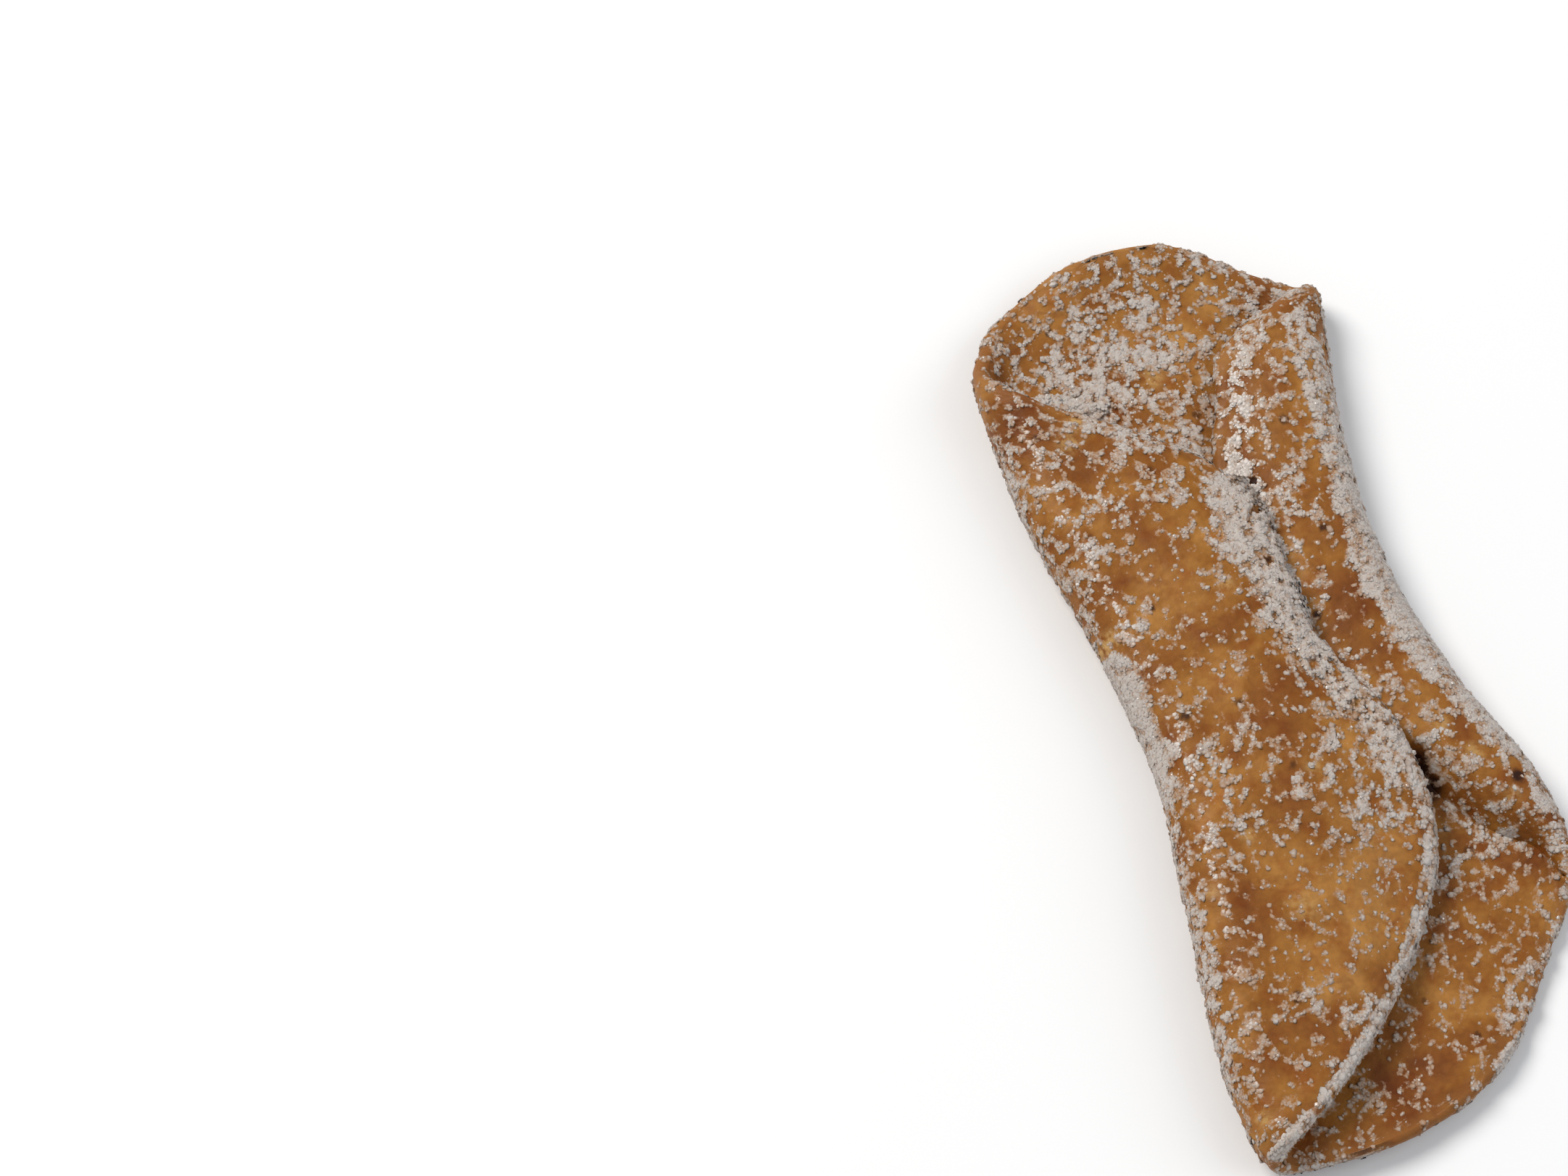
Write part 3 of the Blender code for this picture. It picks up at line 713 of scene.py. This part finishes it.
def taken_apart(shape):
    """A shape's corners and triangles, and the shape removed."""
    mesh = shape.data
    corners = coordinates(mesh)
    triangles = np.array([list(face.vertices) for face in mesh.polygons])
    bpy.data.objects.remove(shape)
    return corners, triangles


def turned_at_random(out, flat, rng):
    """A turn for one grain: any way, or lying flat on the dough and turned about its normal."""
    if flat:
        return out.to_track_quat("Z", "Y").to_matrix() @ Matrix.Rotation(rng.uniform(0, math.tau), 3, "Z")
    return Matrix.Rotation(rng.uniform(0, math.tau), 3, Vector([rng.gauss(0, 1) for _ in range(3)]))


def joined_grains(name, kind, shapes, grains):
    """One mesh of many grains, each a turned and stretched copy of one of the shapes."""
    rng = random.Random(SEED)
    corners, triangles, milks, outs, count = [], [], [], [], 0
    for place, out, size, milk, deep in grains:
        points, faces = rng.choice(shapes)
        turn = turned_at_random(out, kind.flatness < LIES_FLAT, rng)
        stretch = np.array([rng.uniform(*STRETCH), rng.uniform(*STRETCH), kind.flatness]) * size
        moved = (points * stretch) @ np.array(turn).T
        height = moved @ np.array(out)
        tall = height.max() - height.min()
        below = kind.sunk + DEEP_SUNK * deep
        moved = moved + np.array(place + out * tall * (0.5 - below))
        risen = np.clip((height / tall + 0.5 - below) / (1 - below), 0, 1)
        low = moved[:, 2].min()
        if low < FLOOR_GAP:
            moved[:, 2] += FLOOR_GAP - low
        if (moved < CAD_LOW).any() or (moved > CAD_HIGH).any():
            continue
        corners.append(moved)
        triangles.append(faces + count)
        # Painted light and shade: the grain's colour is browner at its foot and milkier at its top.
        foot = CLEAR_PAINTED_FOOT + (DEEP_PAINTED_FOOT - CLEAR_PAINTED_FOOT) * deep
        milks.append(np.clip(milk * (foot + (1 - foot) * risen), 0, 1))
        outs.append(np.tile(np.array(out), (len(points), 1)))
        count += len(points)
    mesh = bpy.data.meshes.new(name)
    mesh.from_pydata(np.concatenate(corners).tolist(), [], np.concatenate(triangles).tolist())
    if kind.smooth:
        mesh.shade_smooth()
    attribute(mesh, "milk", np.concatenate(milks))
    out_layer = mesh.attributes.new("out", "FLOAT_VECTOR", "POINT")
    out_layer.data.foreach_set("vector", np.concatenate(outs).ravel())
    piece = bpy.data.objects.new(name, mesh)
    bpy.context.scene.collection.objects.link(piece)
    return piece


def make_sugar(dough, evenly, vertex_normals):
    """All the grains, kind by kind, in pieces of a limited number of triangles."""
    pieces = []
    for kind, grains in zip(KINDS, strew(dough, evenly, vertex_normals)):
        shapes = [taken_apart(grain_shape(k, kind)) for k in range(SHAPES)]
        a_piece = TRIANGLES_A_PIECE // len(shapes[0][1])
        for part, first in enumerate(range(0, len(grains), a_piece)):
            few = grains[first:first + a_piece]
            pieces.append(joined_grains(f"{kind.name}_{part}", kind, shapes, few))
    return pieces


# ---------------------------------------------------------------- materials
class Nodes:
    """Short ways to add and join shader nodes."""

    def __init__(self, name):
        self.material = bpy.data.materials.new(name)
        self.material.use_nodes = True
        self.tree = self.material.node_tree
        self.shader = self.tree.nodes["Principled BSDF"]
        self.object_place = self.add("ShaderNodeTexCoord").outputs["Object"]

    def add(self, kind, **values):
        node = self.tree.nodes.new(kind)
        for key, value in values.items():
            setattr(node, key, value)
        return node

    def settings(self, **values):
        """Sets the shader's plain values, with _ for the spaces in their names."""
        for key, value in values.items():
            self.shader.inputs[key.replace("_", " ")].default_value = value

    def join(self, source, target):
        self.tree.links.new(source, target)

    def noise(self, length, detail=3.0, roughness=0.55, distortion=0.0):
        """Noise on the piece's own places, with features of that length."""
        node = self.add("ShaderNodeTexNoise")
        node.inputs["Scale"].default_value = 1 / length
        node.inputs["Detail"].default_value = detail
        node.inputs["Roughness"].default_value = roughness
        node.inputs["Distortion"].default_value = distortion
        self.join(self.object_place, node.inputs["Vector"])
        return node.outputs["Fac"]

    def specks(self, length, chance):
        """Small round specks, the likelier the higher the chance."""
        cells = self.add("ShaderNodeTexVoronoi")
        cells.inputs["Scale"].default_value = 1 / length
        self.join(self.object_place, cells.inputs["Vector"])
        near = self.grey_ramp(cells.outputs["Distance"], [(0.14, 1.0), (0.30, 0.0)])
        drawn = self.add("ShaderNodeMath", operation="SUBTRACT")
        self.join(chance, drawn.inputs[0])
        self.join(cells.outputs["Color"], drawn.inputs[1])
        return self.times(near, self.grey_ramp(drawn.outputs["Value"], [(0.0, 0.0), (0.08, 0.8)]))

    def ramp(self, source, stops):
        node = self.add("ShaderNodeValToRGB")
        elements = node.color_ramp.elements
        while len(elements) < len(stops):
            elements.new(0.5)
        for element, (place, colour) in zip(elements, stops):
            element.position = place
            element.color = (*colour, 1.0)
        self.join(source, node.inputs["Fac"])
        return node.outputs["Color"]

    def grey_ramp(self, source, stops):
        return self.ramp(source, [(place, (value, value, value)) for place, value in stops])

    def mix(self, share, first, second, blend="MIX"):
        node = self.add("ShaderNodeMix", data_type="RGBA", blend_type=blend)
        for socket, value in ((node.inputs[0], share), (node.inputs[6], first), (node.inputs[7], second)):
            if isinstance(value, bpy.types.NodeSocket):
                self.join(value, socket)
            elif isinstance(value, tuple):
                socket.default_value = (*value, 1.0)
            else:
                socket.default_value = value
        return node.outputs[2]

    def times(self, first, second):
        return self.mix(1.0, first, second, "MULTIPLY")

    def plus(self, source, share, other):
        """A share of one value added to another."""
        node = self.add("ShaderNodeMath", operation="MULTIPLY_ADD")
        self.join(source, node.inputs[0])
        node.inputs[1].default_value = share
        self.join(other, node.inputs[2])
        return node.outputs["Value"]

    def bump(self, source, distance, strength, below=None):
        node = self.add("ShaderNodeBump")
        node.inputs["Distance"].default_value = distance
        node.inputs["Strength"].default_value = strength
        self.join(source, node.inputs["Height"])
        if below is not None:
            self.join(below, node.inputs["Normal"])
        return node.outputs["Normal"]

    def attribute(self, name):
        node = self.add("ShaderNodeAttribute", attribute_name=name)
        return node.outputs["Fac"]


# The fried dough, from dark to golden, and what makes that blotchy: (place on the ramp, colour).
BROWNS = [(0.22, (0.118, 0.030, 0.005)), (0.38, (0.190, 0.063, 0.010)), (0.52, (0.248, 0.096, 0.015)),
          (0.72, (0.360, 0.165, 0.038))]
MOTTLES = [(0.28, (0.86, 0.68, 0.52)), (0.50, (1.0, 1.0, 1.0)), (0.74, (1.13, 1.15, 1.22))]
TOASTED = (0.150, 0.038, 0.008)
FLAKY = (0.50, 0.31, 0.115)
# Near black, for the scorched spots and for the painted shadow in the hollow and the pits.
SCORCHED_AND_SHADOWED = (0.028, 0.008, 0.003)
CUT = (0.27, 0.115, 0.034)
# Sugar, from soaked through with the dough's brown to milky white; at a grain's foot the brown end is painted
# light and shade, standing for the dough seen through the grain.
SUGARS = [(0.15, (0.32, 0.145, 0.050)), (0.45, (0.355, 0.228, 0.150)), (0.75, (0.395, 0.312, 0.258)),
          (1.0, (0.475, 0.422, 0.380))]
SYRUPY = [(0.35, (0.34, 0.19, 0.10)), (0.65, (0.46, 0.34, 0.25))]
DUST = (0.50, 0.40, 0.33)


def browned_and_shaded_colour(n):
    """The bare dough: golden to brown, mottled, toasted in places, flaky, scorched and freckled, with painted
    shade and shadow in its hollows.
    """
    golden = n.ramp(n.plus(n.attribute("tone"), 0.16, n.noise(8 * MM, 3, 0.5, 0.4)), BROWNS)
    colour = n.times(golden, n.ramp(n.noise(2.4 * MM, 2, 0.5), MOTTLES))
    toasted = n.grey_ramp(n.noise(3.1 * MM, 3, 0.55, 0.8), [(0.60, 0.0), (0.76, 0.55)])
    colour = n.mix(toasted, colour, TOASTED)
    flakes = n.grey_ramp(n.noise(0.8 * MM, 3, 0.6), [(0.38, 0.0), (0.58, 0.9)])
    colour = n.mix(n.times(n.attribute("flake"), flakes), colour, FLAKY)
    # Scorched spots and painted shadow, near black, broken up a little.
    scorch_and_shadow_mottling = n.grey_ramp(n.noise(0.7 * MM, 2, 0.5), [(0.3, 0.7), (0.5, 1.0)])
    colour = n.mix(n.times(n.attribute("scorch"), scorch_and_shadow_mottling), colour, SCORCHED_AND_SHADOWED)
    colour = n.times(colour, n.grey_ramp(n.noise(0.6 * MM, 2, 0.5), [(0.34, 0.92), (0.60, 1.03)]))
    return n.mix(n.grey_ramp(n.attribute("cut_edge"), [(0.2, 0.0), (1.0, 0.35)]), colour, CUT)


def sugared_colour(n, colour):
    """Over the bare dough: syrupy sugar at a clump's rim, specks of dust, and the thin crust in the clump."""
    depth = n.plus(n.noise(0.3 * MM, 2, 0.6), 0.4, n.attribute("margin"))
    syrupy = n.ramp(n.noise(0.5 * MM, 2, 0.5), SYRUPY)
    colour = n.mix(n.grey_ramp(depth, [(0.56, 0.0), (0.72, 0.85)]), colour, syrupy)
    colour = n.mix(n.specks(0.42 * MM, n.attribute("dusting")), colour, DUST)
    milk = n.plus(n.noise(0.45 * MM, 2, 0.5), 0.8, n.grey_ramp(depth, [(0.70, 0.05), (0.85, 0.55)]))
    return n.mix(n.grey_ramp(depth, [(0.66, 0.0), (0.76, 1.0)]), colour, n.ramp(milk, SUGARS))


def fried_dough():
    """Fried dough with a fine greasy relief, light passing a little way in, and the sugar stuck to it."""
    n = Nodes("fried_dough")
    n.join(sugared_colour(n, browned_and_shaded_colour(n)), n.shader.inputs["Base Color"])
    n.join(n.grey_ramp(n.noise(1.8 * MM, 3), [(0.3, 0.42), (0.7, 0.62)]), n.shader.inputs["Roughness"])
    coarse = n.bump(n.noise(1.1 * MM, 3, 0.5), 0.12 * MM, 0.8)
    n.join(n.bump(n.noise(0.32 * MM, 2, 0.5), 0.06 * MM, 0.6, coarse), n.shader.inputs["Normal"])
    n.settings(IOR=1.42, Specular_IOR_Level=0.2, Subsurface_Weight=0.12,
               Subsurface_Radius=(1.0, 0.45, 0.15), Subsurface_Scale=1.2 * MM)
    return n.material


def milky_sugar(name, softness, roughness):
    """Sugar, whose grains' shading is softened towards that of the dough they lie on."""
    n = Nodes(name)
    n.join(n.ramp(n.attribute("milk"), SUGARS), n.shader.inputs["Base Color"])
    own = n.add("ShaderNodeNewGeometry").outputs["Normal"]
    under = n.add("ShaderNodeAttribute", attribute_name="out").outputs["Vector"]
    blend = n.add("ShaderNodeMix", data_type="VECTOR")
    blend.inputs[0].default_value = softness
    n.join(own, blend.inputs[4])
    n.join(under, blend.inputs[5])
    n.join(blend.outputs[1], n.shader.inputs["Normal"])
    n.settings(Roughness=roughness, IOR=1.5)
    return n.material


# ---------------------------------------------------------------- floor, light and camera
CAMERA_PLACE = Vector((-0.082384, -0.119129, 0.361602))
CAMERA_TARGET = Vector((-0.047265, 0.022684, 0.0))
LENS = 85.0                   # mm, as the sensor's width is
SENSOR = 36.0
CLIP_START = 0.01
FLOOR_SIZE = 6
FLOOR_DROP = 0.05 * MM        # below the piece, so that they don't touch
ROOM_LIGHT = (0.93, 0.96, 1.0)
ROOM_STRENGTH = 0.45
# The two lamps: (name, place, size, watts, colour).
LAMPS = [("key", (-0.45, 0.45, 0.75), 0.5, 8.5, (1.0, 0.97, 0.93)),
         ("fill", (0.6, -0.2, 0.6), 0.8, 2.5, ROOM_LIGHT)]


def add_aimed(name, data, place, target):
    """A lamp or camera at its place, turned towards its target."""
    thing = bpy.data.objects.new(name, data)
    thing.location = place
    thing.rotation_euler = (Vector(target) - Vector(place)).to_track_quat("-Z", "Y").to_euler()
    bpy.context.scene.collection.objects.link(thing)
    return thing


def make_floor():
    """A pale, nearly even floor."""
    deselect_all()
    bpy.ops.mesh.primitive_plane_add(size=FLOOR_SIZE, location=(0, 0, -FLOOR_DROP))
    floor = bpy.context.object
    floor.name = "floor"
    n = Nodes("pale_floor")
    n.join(n.grey_ramp(n.noise(0.4, 2), [(0.3, 0.80), (0.7, 0.82)]), n.shader.inputs["Base Color"])
    n.settings(Roughness=0.9)
    floor.data.materials.append(n.material)


def make_light():
    """Two soft lamps and the even light of a pale room."""
    for name, place, size, watts, colour in LAMPS:
        light = bpy.data.lights.new(name, "AREA")
        light.shape = "DISK"
        light.size = size
        light.energy = watts
        light.color = colour
        add_aimed(name, light, place, (0, 0, 0))
    world = bpy.data.worlds.new("room")
    bpy.context.scene.world = world
    world.use_nodes = True
    background = world.node_tree.nodes["Background"]
    background.inputs["Color"].default_value = (*ROOM_LIGHT, 1.0)
    background.inputs["Strength"].default_value = ROOM_STRENGTH
    bpy.context.scene.view_settings.view_transform = "Standard"


def make_camera():
    """The camera, where the photo was taken from."""
    data = bpy.data.cameras.new("camera")
    data.lens = LENS
    data.sensor_width = SENSOR
    data.clip_start = CLIP_START
    bpy.context.scene.camera = add_aimed("camera", data, CAMERA_PLACE, CAMERA_TARGET)


make_camera()
make_floor()
make_light()

dough = make_dough()
dough.data.materials.append(fried_dough())
browned_and_shaded(dough)
evenly, vertex_normals = crusted(dough)
stay_in_box(dough)
sugar = make_sugar(dough, evenly, vertex_normals)
soft_sugar = milky_sugar("soft_sugar", 0.85, 0.35)
clear_sugar = milky_sugar("clear_sugar", 0.4, 0.12)
for piece in sugar:
    piece.data.materials.append(clear_sugar if piece.name.startswith(CRYSTALS) else soft_sugar)

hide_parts("pestino")
for piece in [dough] + sugar:
    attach(piece, "root")
